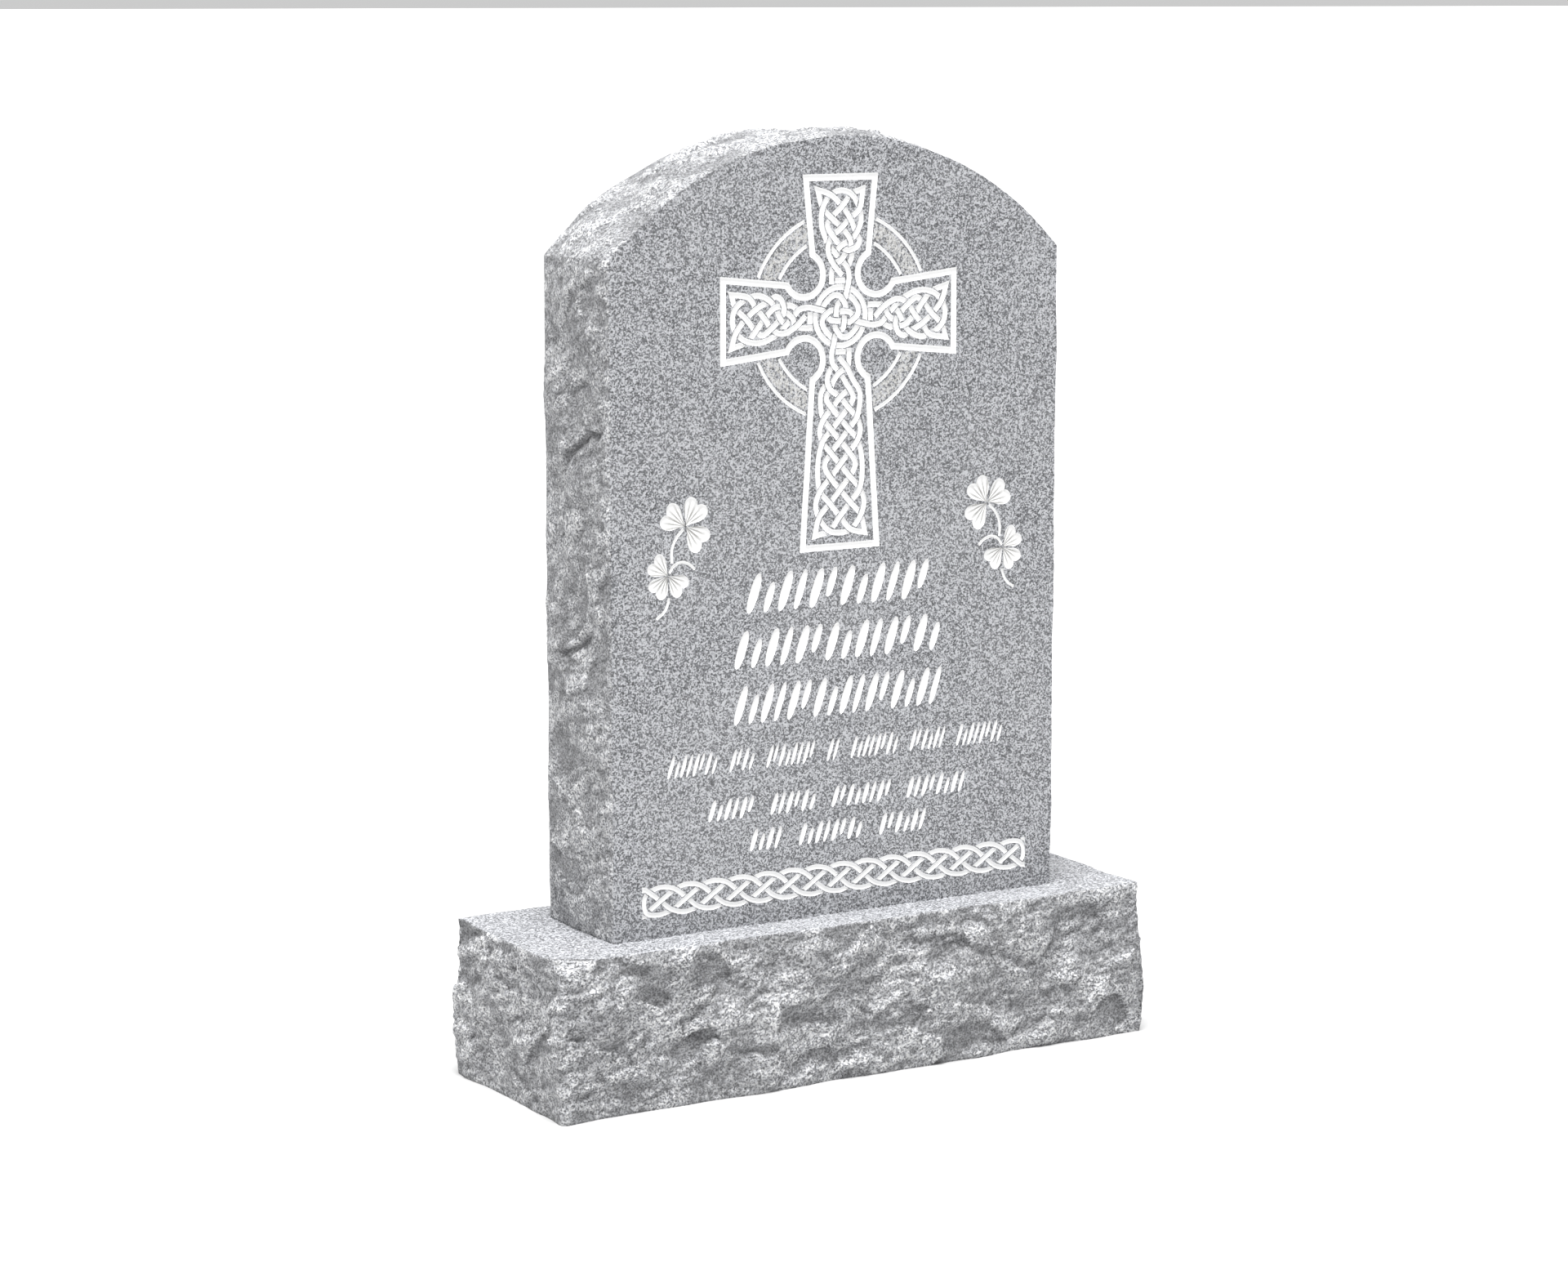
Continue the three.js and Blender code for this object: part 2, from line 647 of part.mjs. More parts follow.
function makeCarving() {
  const crossMiddle = crown - crossBelowCrown - topReach * crossScale;
  const bandMiddle = bandFoot + bandWide / 2;
  const band = bandShapes();
  const rowsTop = crossMiddle - footReach * crossScale - rowsGap;
  const rowsBottom = bandFoot + bandWide + rowsGap;
  const cutters = [
    ...crossShapes().map((shape) => prism(shape, crossScale, crossMiddle)),
    ...interlace(band.stops, bandRibbon, ribbonGap, 2).map((shape) => prism(shape, 1, bandMiddle)),
    ...band.tips.map((shape) => prism(shape, 1, bandMiddle)),
    ...[-1, 1].flatMap(sprayShapes).map((shape) => prism(shape, 1, 0)),
    ...strokeShapes(rowsTop, rowsBottom).map((shape) => prism(shape, 1, 0)),
  ];
  return cutters.reduce((sum, cutter) => sum.add(cutter));
}

function granitePiece(name, solid, colour) {
  const piece = new THREE.Mesh(toGeometry(solid), new THREE.MeshStandardMaterial({
    color: colour, roughness: 0.85, metalness: 0,
  }));
  piece.name = name;
  return piece;
}

const headstone = new THREE.Group();
headstone.name = "headstone";
const tablet = granitePiece("tablet", makeTablet().subtract(makeCarving()), 0x9a9a9e);
tablet.position.z = baseHeight;
headstone.add(tablet);
headstone.add(granitePiece("base", makeBase(), 0x96969a));
headstone.updateMatrixWorld(true);

export default headstone;
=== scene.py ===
"""Upright granite headstone: rock-pitched tablet and base with a carved, white-painted face."""
import math

import bmesh
import bpy
from mathutils import Matrix, Vector, noise
from mathutils.geometry import interpolate_bezier


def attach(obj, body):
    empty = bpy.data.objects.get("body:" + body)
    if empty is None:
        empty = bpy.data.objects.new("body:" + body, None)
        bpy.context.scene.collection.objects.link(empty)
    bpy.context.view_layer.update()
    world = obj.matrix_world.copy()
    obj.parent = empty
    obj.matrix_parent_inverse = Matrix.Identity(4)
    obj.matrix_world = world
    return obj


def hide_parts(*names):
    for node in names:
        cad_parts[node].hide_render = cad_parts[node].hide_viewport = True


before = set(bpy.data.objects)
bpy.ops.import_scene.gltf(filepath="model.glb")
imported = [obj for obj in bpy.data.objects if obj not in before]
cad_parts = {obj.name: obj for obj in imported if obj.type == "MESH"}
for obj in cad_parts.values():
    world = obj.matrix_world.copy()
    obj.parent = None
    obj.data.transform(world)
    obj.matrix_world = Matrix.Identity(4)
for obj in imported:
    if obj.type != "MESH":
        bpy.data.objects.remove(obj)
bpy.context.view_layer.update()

MM = 0.001

# Stone sizes in millimetres, as in the part's source
TABLET_WIDTH, TABLET_THICK, SHOULDER, ARCH_RISE = 610, 157, 784, 135
RIM_PROUD, RIM_WANDER, RIM_ARRIS = 7, 6, 0.15
BASE_HEIGHT, SIDE_LEDGE, FRONT_LEDGE = 188.5, 97, 51.5
BASE_PROUD, BASE_WANDER, BASE_ARRIS = 3, 8, 0.5
CHIP_DROP = 14.3
CARVE_DEPTH = 1.6
CROWN = SHOULDER + ARCH_RISE
ARCH_RADIUS = (TABLET_WIDTH ** 2 / 4 + ARCH_RISE ** 2) / (2 * ARCH_RISE)
ARCH_ANGLE = math.asin(TABLET_WIDTH / 2 / ARCH_RADIUS)
BASE_LENGTH = TABLET_WIDTH + 2 * SIDE_LEDGE
BASE_DEPTH = TABLET_THICK + 2 * FRONT_LEDGE

# Cross
RIBBON_WIDTH, RIBBON_GAP = 6.6, 1.3
CROSS_HEIGHT, CROSS_BELOW_CROWN, FRAME_WIDTH = 439, 42, 7.8
TOP_REACH, ARM_REACH = 165, 161.8
ARM_END_HALF, FOOT_END_HALF, NECK_HALF = 51, 55, 42
ARMPIT_OUT, ARMPIT_RADIUS = 49.4, 21.8
RING_RADII, RING_LINE, RING_GAP = (121.5, 95), 4.2, 2.5
WHEEL_RADIUS, WHEEL_DEGREES = 34.3, (16, 36, 60, 84, 106)
FOOT_REACH = CROSS_HEIGHT - TOP_REACH
CROSS_MIDDLE = CROWN - CROSS_BELOW_CROWN - TOP_REACH

# Band, sprays and rows of strokes
BAND_MARGIN, BAND_FOOT, BAND_WIDE, BAND_PITCH, BAND_RIBBON = 37, 25, 38, 32.5, 5.6
BAND_MIDDLE = BAND_FOOT + BAND_WIDE / 2
SPRAY_INSET, SPRAY_HEIGHT = 82, 452
LEAF_LENGTH, SMALL_LEAF, STEM_WIDTH, LEAF_TO_JOINT = 33.5, 28, 3.4, 0.5
ROWS_MARGIN, ROWS_GAP, STROKE_SLANT = 72, 20, 0.32

# Fineness of the mesh
SPAN_STEPS = 5       # samples from one point of a strand to the next
ARMPIT_STEPS, RING_STEPS, LEAF_STEPS, STEM_STEPS, STROKE_SIDES = 36, 24, 12, 6, 16
RIM_CELL = 3.0       # the tablet's pitched rim
BASE_CELL = 3.2      # the base's pitched sides
FACE_CELL = 24       # the carved face, split before it is cut
CUT_START = 3        # how far in front of the face a cutter begins
FLAT = 0.999         # how square to an axis the normal of a sawn face has to be
NEAR_FACE = 0.49     # a face as far out as this share of the thickness is the front or the back

SAWN, ROCK, WHITE, LEAF = range(4)  # places in a piece's list of materials


def flat(x, z):
    return Vector((x, z))


# Drawing on the face: lines with width, mitred at their corners

def sides_of(points, width, closed=False):
    """The two side lines of a line with width. The least lean keeps a sharp corner's mitre short."""
    least_lean = 0.3
    left, right = [], []
    count = len(points)
    for i, point in enumerate(points):
        before = points[i - 1] if i or closed else point
        after = points[(i + 1) % count] if i + 1 < count or closed else point
        into = (point - before).normalized()
        out_of = (after - point).normalized()
        ahead = (into + out_of).normalized()
        lean = ahead.dot(into) if into.length and out_of.length else 1
        across = flat(-ahead.y, ahead.x) * (width / 2 / max(lean, least_lean))
        left.append(point + across)
        right.append(point - across)
    return left, right


def ribbon_outline(points, width):
    left, right = sides_of(points, width)
    return left + right[::-1]


def smooth_curve(points, steps):
    """A smooth line through the points, with even sampling from each to the next."""
    line = [points[0]]
    count = len(points)
    for i in range(count - 1):
        start, end = points[i], points[i + 1]
        before = points[i - 1] if i else start * 2 - end
        after = points[i + 2] if i + 2 < count else end * 2 - start
        a, b, c = ((q - p).length ** 0.5 for p, q in ((before, start), (start, end), (end, after)))
        rise = ((start - before) / a - (end - before) / (a + b) + (end - start) / b) * b
        fall = ((end - start) / b - (after - start) / (b + c) + (after - end) / c) * b
        line += interpolate_bezier(start, start + rise / 3, end - fall / 3, end, steps + 1)[1:]
    return line


# Interlace: a strand is a list of (point, mark) stops. At + it passes over, at - under, and at ^
# it turns a sharp corner.

def read_strand(text, places):
    stops = []
    for word in text.split():
        mark = word[-1] if word[-1] in "+-^" else ""
        stops.append((places[word[:-1] if mark else word].copy(), mark))
    return stops


def smooth_strand(stops):
    """A strand as many (point, mark) pairs, smooth from one sharp corner to the next."""
    line, run = [], []
    for stop in stops:
        run.append(stop)
        if stop[1] == "^" or stop is stops[-1]:
            curve = smooth_curve([at for at, _ in run], SPAN_STEPS)
            marks = [run[k // SPAN_STEPS][1] if k % SPAN_STEPS == 0 else "" for k in range(len(curve))]
            line += list(zip(curve, marks))[1 if line else 0:]
            run = [stop]
    return line


def off_line(point, line):
    """How far a point lies from a line of straight pieces."""
    nearest = math.inf
    for start, end in zip(line, line[1:]):
        way = end - start
        share = min(1, max(0, (point - start).dot(way) / way.length_squared))
        nearest = min(nearest, (start + way * share - point).length)
    return nearest


def trimmed(side, over, keep_off):
    """A side line of a ribbon, cut where it comes up to the strand passing over its end."""
    for k, point in enumerate(side):
        far = off_line(point, over)
        if far > keep_off:
            if k == 0:
                return side
            near = off_line(side[k - 1], over)
            return [side[k - 1].lerp(point, (keep_off - near) / (far - near))] + side[k:]
    return []


def interlace(strands, width, gap):
    """Outlines of the strands' ribbons, which end a gap short of every ribbon that passes over them."""
    kept_off = 0.46  # of the width: a side's points that are nearer to the middle line lie in a bend
    few_points = 5   # what is left of a ribbon that is covered all over
    lines = [smooth_strand(stops) for stops in strands]
    overs = []
    for line in lines:
        overs += [(at, [p for p, _ in line[max(0, i - SPAN_STEPS):i + SPAN_STEPS + 1]])
                  for i, (at, mark) in enumerate(line) if mark == "+"]
    outlines = []
    for line in lines:
        cuts = [i for i, (_, mark) in enumerate(line) if mark == "-"]
        ends = sorted({0, *cuts, len(line) - 1})
        for first, last in zip(ends, ends[1:]):
            run = line[first:last + 1]
            outline = []
            middle = [at for at, _ in run]
            for side in sides_of(middle, width):
                side = [p for p in side if off_line(p, middle) > kept_off * width]
                half = len(side) // 2
                start, finish = side[:half + 1], side[half:][::-1]
                for stop, part in ((run[0], "start"), (run[-1], "finish")):
                    if stop[1] != "-":
                        continue
                    over = min(overs, key=lambda o: (o[0] - stop[0]).length)[1]
                    if part == "start":
                        start = trimmed(start, over, width / 2 + gap)
                    else:
                        finish = trimmed(finish, over, width / 2 + gap)
                whole = start + finish[::-1][1:]
                outline = outline + whole[::-1] if outline else whole
            if len(outline) > few_points:
                outlines.append(outline)
    return outlines


# Cross, drawn about its own centre

def turned(point, quarter):
    """A point turned clockwise by quarters about the cross's centre."""
    angle = -quarter * math.pi / 2
    return flat(point.x * math.cos(angle) - point.y * math.sin(angle),
                point.x * math.sin(angle) + point.y * math.cos(angle))


def frame_path():
    """The middle line of the frame round the cross, with a round armpit in each corner."""
    inset = FRAME_WIDTH / 2
    bend = ARMPIT_RADIUS + inset
    neck = NECK_HALF - inset
    spread = math.atan2(ARMPIT_OUT - neck, math.sqrt(bend ** 2 - (ARMPIT_OUT - neck) ** 2))
    path = []
    for quarter, reach in enumerate((TOP_REACH, ARM_REACH, FOOT_REACH, ARM_REACH)):
        half = (FOOT_END_HALF if quarter == 2 else ARM_END_HALF) - inset
        corner = [flat(-half, reach - inset), flat(half, reach - inset)]
        for i in range(ARMPIT_STEPS + 1):
            angle = math.pi / 2 + spread + (1.5 * math.pi - 2 * spread) * i / ARMPIT_STEPS
            corner.append(flat(ARMPIT_OUT + bend * math.cos(angle), ARMPIT_OUT + bend * math.sin(angle)))
        path += [turned(point, quarter) for point in corner]
    return path


def ring_edge(radius, reach, half):
    """Angle from an arm's middle line at which a ring line stops short of that arm's frame."""
    slope = (half - NECK_HALF) / (reach - ARMPIT_OUT - ARMPIT_RADIUS)
    out = math.sqrt(radius ** 2 - NECK_HALF ** 2)
    return math.asin((NECK_HALF + slope * (out - ARMPIT_OUT - ARMPIT_RADIUS) + RING_GAP) / radius)


def ring_lines():
    """The two lines of each of the ring's four arcs."""
    outlines = []
    for radius in RING_RADII:
        foot = ring_edge(radius, FOOT_REACH, FOOT_END_HALF)
        arm = ring_edge(radius, ARM_REACH, ARM_END_HALF)
        for quarter in range(4):
            first = foot if quarter == 2 else arm
            last = foot if quarter == 1 else arm
            span = math.pi / 2 - first - last
            angles = [first + span * i / RING_STEPS for i in range(RING_STEPS + 1)]
            arc = [turned(flat(radius * math.sin(a), radius * math.cos(a)), quarter) for a in angles]
            outlines.append(ribbon_outline(arc, RING_LINE))
    return outlines


# Named places on the strands, for an arm that points up, and the strands that run through them
CORE = dict(
    L=(26.5, -8), h1=(19.5, -17), h2=(9, -24.5), h3=(1, -23.5), Jf=(-3.5, -18.5), h4=(-7.3, -12),
    Kf=(-5.3, -5.5), K=(-5.5, 5.3), h5=(-3.2, 14.5), J=(3.5, 18.5), h6=(6.8, 22.5), N=(8, 26.5),
    R=(9.5, 33), n1=(11.6, 41), n2=(11.6, 49), I2=(9.5, 56.5), H1=(0.5, 65.2), I1=(-9.5, 60.5),
    q0=(-12, 37.5), q1=(-12, 50), s0=(2.4, 47.4), g0=(-7.4, 41.5), g1=(6.4, 41.5))
CORE_RUN = "L- h1 h2 h3 Jf+ h4 Kf- K+ h5 J- h6 N+ R+ n1 n2 I2+ H1-"
ARM = dict(
    CORE, G2=(-7.5, 73.8), F1=(-16.5, 84), s1=(-16.6, 74.5), o1=(-25.8, 106), B0=(-24.3, 126),
    A1=(-13.5, 141), t1=(1, 145.7), A2=(14.8, 141.2), B2=(26, 124), o2=(28, 110), E2=(21.5, 95.6),
    E3=(13.6, 88.3),
    F2=(0.5, 81.6), E1=(-10.5, 93.5), D1=(1.5, 102.8), C2=(13, 113.5), B1=(2, 127.5), C1=(-12.5, 114.5),
    i1=(-18, 106), H2=(9, 76.4), G1=(14.6, 76.8), r1=(22.5, 80.5), r2=(26, 88), i2=(17.6, 104.5),
    left=(-31.3, 147), right=(30.5, 147), k1=(15.2, 68.5))
ARM_STRANDS = (
    CORE_RUN + " G2+ F1- o1 B0+ A1- t1 A2+ B2- o2 E2+ E3- F2+ G2-",
    "s0 I1+ s1 F1+ E1- D1+ C2- B2+ right^ A2- B1+ C1- i1 E1+ F2- H2+ G1+ r1 r2 E2- i2 C2+ B1- A1+ "
    "left^ B0- C1+ D1- E3+ G1- k1 I2-",
    "q0 q1 I1- H1+ H2-",
    "g0 g1")
FOOT = dict(
    CORE, w1=(16.3, 66.5), Q0=(17.6, 77), Q1=(13.6, 85), y1=(8.6, 74.5), x1=(-4.5, 73), T1=(-12.8, 85),
    D11=(-18, 95.5), B11=(19, 95.5), E12=(-26.8, 89), z1=(-18, 75.5), A12=(26, 88),
    foot=(0, 254), left=(34.7, 256), right=(-34.7, 256))
FOOT_STRANDS = (
    "I2- w1 Q0+ Q1+ c11- d10+ e9- E8 e7+ d6- c5+ b4- a3+ A2 a1- b0+ foot d0- e1+ E2 e3- d4+ c5- b6+ a7- A8 "
    "a9+ b10- c11+ T1-",
    CORE_RUN + " x1 T1+ D11 d10- c9+ b8- a7+ A5 a3- b2+ c1- d0+ right^ e1- d2+ c3- b4+ B5 b6- c7+ d8- e9+ "
    "E10 E12 z1 I1+ s0",
    "q0 q1 I1- H1+ y1 Q1- B11 b10+ c9- d8+ e7- E5 e3+ d2- c1+ b0- left^ a1+ b2- c3+ d4- D5 d6+ c7- b8+ a9- "
    "A10 A12 Q0-",
    "g0 g1")

# The foot's plait: columns this far apart, rows that share of it, and turns this many columns out
PLAIT_AT_FOOT, PLAIT_AT_NECK, PLAIT_REACH, NECK_REACH = 14.9, 10.8, 251, 95
PLAIT_ROWS, ROW_SHARE, OUTER_TURN, INNER_TURN = 11, 1.1, 2.38, 1.65


def foot_places():
    """The foot's crossings: a six-strand plait whose rows and columns narrow towards the neck."""
    places = dict(FOOT)
    out = PLAIT_REACH
    for row in range(PLAIT_ROWS + 1):
        share = (out - NECK_REACH) / (PLAIT_REACH - NECK_REACH)
        width = PLAIT_AT_NECK + (PLAIT_AT_FOOT - PLAIT_AT_NECK) * share
        columns = dict(a=2, b=1, c=0, d=-1, e=-2, A=OUTER_TURN, E=-OUTER_TURN)
        if row < PLAIT_ROWS:
            columns.update(B=INNER_TURN, D=-INNER_TURN)
        for name, side in columns.items():
            places[f"{name}{row}"] = (side * width, out)
        out -= ROW_SHARE * width
    return places


def cross_outlines():
    """The ring and the knotwork, with an arc of the centre wheel under each arm's strands."""
    strands = []
    for quarter in range(4):
        places = foot_places() if quarter == 2 else ARM
        points = {name: flat(*place) for name, place in places.items()}
        group = [read_strand(text, points) for text in (FOOT_STRANDS if quarter == 2 else ARM_STRANDS)]
        turns = [math.radians(degrees) for degrees in WHEEL_DEGREES]
        wheel = [flat(-WHEEL_RADIUS * math.cos(turn), WHEEL_RADIUS * math.sin(turn)) for turn in turns]
        group.append(list(zip(wheel, ("-", "", "", "", "-"))))
        strands += [[(turned(at, quarter), mark) for at, mark in strand] for strand in group]
    return ring_lines() + interlace(strands, RIBBON_WIDTH, RIBBON_GAP)


# The band: how far a crossing leans from its middle, as a share of the pitch and of the band's width,
# and the corners beside the end loops, measured from the band's lower left corner
LEAN_SHARE, RISE_SHARE, CREST_SHARE = 0.46, 0.325, 0.02
BAND_TIPS = (((0, 0), (7, 0.5), (6, 2.4), (0, 5.5)), ((0, 38), (0, 31.2), (4, 31), (5.7, 36.6)))


def band_outlines():
    """The plaited band's ribbons, and the small corners cut beside its end loops."""
    length = TABLET_WIDTH - 2 * BAND_MARGIN
    bars = max(2, round((length - BAND_PITCH) / BAND_PITCH)) - 1
    pitch = (length - 1.5 * BAND_PITCH) / bars
    start = -bars * pitch / 2
    high = BAND_WIDE / 2 - BAND_RIBBON / 2
    lean, rise = pitch * LEAN_SHARE, BAND_WIDE * RISE_SHARE

    def middle(k):
        return flat(start + k * pitch, 0)

    def upper(k):
        return middle(k) + flat(-lean, rise)

    def lower(k):
        return middle(k) + flat(lean, -rise)

    strands = []
    for k in range(1, bars):
        strands.append([(lower(k - 1), "-"), (middle(k), "+"), (upper(k + 1), "-")])
        crest = flat(CREST_SHARE * pitch, high)
        strands.append([(upper(k), "-"), (middle(k) + crest, ""), (upper(k + 1), "+"),
                        (middle(k + 1), "-")])
        strands.append([(middle(k - 1), "-"), (lower(k - 1), "+"), (middle(k) - crest, ""),
                        (lower(k), "-")])
    end = -length / 2 + BAND_RIBBON / 2
    under = lower(0) - flat(pitch, 0)
    turn = flat(start - 0.05 * pitch, -high)
    loops = [
        [(flat(end + 1.5, high - 1), ""), (upper(0), "+"), (middle(0), "-")],
        [(upper(0), "-"), (flat(end, 0.25 * high), ""), (under, "+"), (turn, ""), (lower(0), "-")],
        [(under, "-"), (middle(0), "+"), (upper(1), "-")],
        [(upper(0), "-"), (middle(0) + flat(0, high), ""), (upper(1), "+"), (middle(1), "-")],
    ]
    strands += loops + [[(-at, mark) for at, mark in strand] for strand in loops]
    tips = [[flat(way * (x - length / 2), way * (z - BAND_WIDE / 2)) for x, z in corner]
            for way in (1, -1) for corner in BAND_TIPS]
    return interlace(strands, BAND_RIBBON, RIBBON_GAP), tips


# One side of a leaf one long that points along X, as the knots of two curves, and its notch
LEAF_SIDE = ((0, 0), (0.28, 0.17), (0.38, 0.45), (0.68, 0.49), (1.0, 0.53), (1.08, 0.16))
LEAF_NOTCH = (0.84, 0)


def leaf_outline(middle, degrees, length):
    """A leaf of two lobes with its foot at the middle."""
    knots = [*LEAF_SIDE, LEAF_NOTCH, *((x, -z) for x, z in LEAF_SIDE[::-1])]
    points = []
    for k in range(0, len(knots) - 1, 3):
        points += interpolate_bezier(*(flat(*knot) for knot in knots[k:k + 4]), LEAF_STEPS)[:-1]
    turn = Matrix.Rotation(math.radians(degrees), 2)
    return [middle + turn @ point * length for point in points]


def spray_outlines(side):
    """The leaves and the stems of the spray at one side of the face, drawn about its two joints."""
    top, low = flat(15, 27.5), flat(-8.5, -28)
    leaves = [(top, way, LEAF_LENGTH) for way in (56, 149, -43)]
    leaves += [(low, way, SMALL_LEAF) for way in (139, 228, -41)]
    stems = [
        [(12, 25), (2.5, 15), (-3.3, 2), (-3.3, -14)],
        [(-7, -25), (-1, -17), (9, -13.5), (19, -16.5), (27, -23)],
        [(-7.5, -54), (-9.3, -61), (-14, -69.5), (-24.5, -77.5)],
    ]
    leaf_outlines = []
    for middle, way, length in leaves:
        outward = flat(math.cos(math.radians(way)), math.sin(math.radians(way)))
        leaf_outlines.append(leaf_outline(middle + outward * LEAF_TO_JOINT, way, length))
    stem_lines = [smooth_curve([flat(*p) for p in stem], STEM_STEPS) for stem in stems]
    stem_outlines = [ribbon_outline(line, STEM_WIDTH) for line in stem_lines]
    place = flat(side * (TABLET_WIDTH / 2 - SPRAY_INSET), SPRAY_HEIGHT)
    return [[[flat(-side * p.x, p.y) + place for p in outline] for outline in outlines]
            for outlines in (leaf_outlines, stem_outlines)]


# Rows of strokes. Each has its width as a share of the widest, its place and height as shares of the
# space between the cross and the band, and the number of places in each of its groups
STROKE_ROWS = (
    (0.55, 0, 0.139, (6,)),
    (0.62, 0.198, 0.133, (7,)),
    (0.62, 0.392, 0.136, (8,)),
    (1, 0.612, 0.079, (4, 2, 4, 1, 4, 3, 4)),
    (0.77, 0.784, 0.076, (3, 3, 4, 4)),
    (0.53, 0.904, 0.078, (2, 4, 3)))


def lens_point(share):
    """A point on the outline of a stroke that is one wide and two tall, round from its top."""
    angle = 2 * math.pi * share
    broad = 0.5 * abs(math.sin(angle)) ** 0.8
    return (-broad if share < 0.5 else broad, math.cos(angle))


def stroke_outlines(top, bottom):
    """Slanting strokes, two to a place: a broad one and a narrower one that stands lower or higher."""
    widest = TABLET_WIDTH - 2 * ROWS_MARGIN
    lens = [lens_point(i / STROKE_SIDES) for i in range(STROKE_SIDES)]
    outlines = []
    for share, down, tall, groups in STROKE_ROWS:
        places = sum(groups) + len(groups) - 1
        pitch = share * widest / places
        height = tall * (top - bottom)
        level = top - down * (top - bottom) - height / 2
        place = 0
        for group in groups:
            for _ in range(group):
                for shift, broad, lift in ((-0.24, 0.3, 0), (0.24, 0.24, 0.25 * (place % 3 - 1))):
                    half = height / 2 * (1 - abs(lift))
                    x = (place + 0.5 - places / 2 + shift) * pitch
                    z = level + lift * height / 2
                    outlines.append([flat(x + u * broad * pitch + STROKE_SLANT * v * half, z + v * half)
                                     for u, v in lens])
                place += 1
            place += 1
    return outlines


# Pitched rock, as in the part's source, with finer chips that only the picture needs

# Forms of split rock: their size in millimetres, and how far each stands out or leans
BEND_SIZE, BEND = 45, 11
LARGE_FACET, LARGE_LEAN = 38, 9
SMALL_FACET, SMALL_LEAN = 14, 4
SCOOP_SIZE, SCOOP = 7, 0.8
STREAK_SIZE, STREAK = 11, 2.6
STEP_SIZE, STEP, STEP_FACE = 31, 3.5, 0.15  # the last is a step's steep share
STEP_PATCH, PATCH_CONTRAST = 60, 2.4
GRIT_SIZE = 6
STREAK_DETAIL, GRIT_DETAIL = (0.7, 2.1, 3), (0.6, 2.1, 3)  # how fine noise is made, as fractal() takes it
BENDS = (Vector((9.3, -1.5, -7.9)), Vector((0, 0, 0)), Vector((-4.7, 6.1, 3.3)))
PATCH_PLACE = Vector((9, 4, 1))

# How the forms fade: at the arrises, towards the tablet's foot and at the base's corners
EDGE_FADE, TABLET_ARRIS, BASE_ARRIS_CHIPS = 16, 0.12, 0.15
FOOT_FADE, FOOT_SHARE = 92, 0.3
CORNER_FADE, CORNER_SHARE = 30, 0.45
TABLET_CHIPS = 0.62
TABLET_SEED, BASE_SEED = 1, 4
CHIP_WAY = (-0.5, -0.75, 1.6)  # square to the break at the base's front left top corner


def pitched(along, across, proud, wander, arris_share, seed):
    """How far pitched stone stands out: a swell between its arrises, and three bent waves along it."""
    swell = arris_share + (1 - arris_share) * math.sin(math.pi * min(max(across, 0), 1)) ** 0.5
    rough = (0.5 * math.sin(along / 41 + 1.9 * math.sin(across * 3.1 + seed) + seed)
             + 0.3 * math.sin(along / 23 - across * 4.3 + 2 * seed)
             + 0.2 * math.sin(along / 13 + across * 7.7 + 3 * seed))
    return swell * (proud + wander * rough)


def facets(place, tilt):
    """Flat facets, each leaning its own way, with small steps between them."""
    apart, step = 31, 0.3  # a place in the noise for each facet, and how much of its lean it stands out
    middle = noise.voronoi(place)[1][0]
    lean = noise.cell_vector(middle * apart) - Vector((0.5, 0.5, 0.5))
    return tilt * (lean.dot(place - middle) + step * lean.x)


def chips(point):
    """Split rock, in millimetres: facets, scoops, streaks along the stone's lie, steps and grit."""
    bent = point + BEND * Vector([noise.noise(point / BEND_SIZE + shift) for shift in BENDS])
    lie = bent.z + 0.3 * bent.y - 0.1 * bent.x
    drawn_out = Vector((bent.x * 0.6, bent.y * 0.8, lie))
    stretched = Vector((bent.x * 0.3, bent.y * 0.5, lie))
    share = (lie / STEP_SIZE) % 1
    step = share / STEP_FACE if share < STEP_FACE else (1 - share) / (1 - STEP_FACE)
    patch = min(1, max(0, PATCH_CONTRAST * noise.noise(point / STEP_PATCH + PATCH_PLACE)))
    scoops = noise.voronoi(bent / SCOOP_SIZE)[0][0] ** 2 - 0.3
    streaks = noise.fractal(stretched / STREAK_SIZE, *STREAK_DETAIL)
    grit = noise.fractal(point / GRIT_SIZE, *GRIT_DETAIL)
    return (facets(drawn_out / LARGE_FACET, LARGE_LEAN) + facets(drawn_out / SMALL_FACET, SMALL_LEAN)
            + SCOOP * scoops + STREAK * streaks + STEP * patch * (step - 0.5) + grit)


# Two ledges that the tablet's left side broke along, as depth from its middle and height above its foot
LEDGES = (((-62, 592), (-35, 590), (-20, 580), (0, 567), (24, 563)),
          ((-36, 360), (-10, 342), (15, 332), (36, 326)))
LEDGE_DEPTH, LEDGE_FADE, LEDGE_END = 15, 8, 12


def below_ledges(y, z):
    """How far the left side lies back just under its ledges, fading downwards and at their ends."""
    back = 0
    for ledge in LEDGES:
        for (y1, z1), (y2, z2) in zip(ledge, ledge[1:]):
            under = z1 + (z2 - z1) * (y - y1) / (y2 - y1) - z
            if y1 <= y < y2 and under > 0:
                ends = min(1, (y - ledge[0][0]) / LEDGE_END, (ledge[-1][0] - y) / LEDGE_END)
                back += LEDGE_DEPTH * ends * math.exp(-under / LEDGE_FADE)
    return back


def new_piece(name, bm, *materials):
    mesh = bpy.data.meshes.new(name)
    bm.to_mesh(mesh)
    bm.free()
    piece = bpy.data.objects.new(name, mesh)
    bpy.context.scene.collection.objects.link(piece)
    for material in materials:
        mesh.materials.append(material)
    return piece


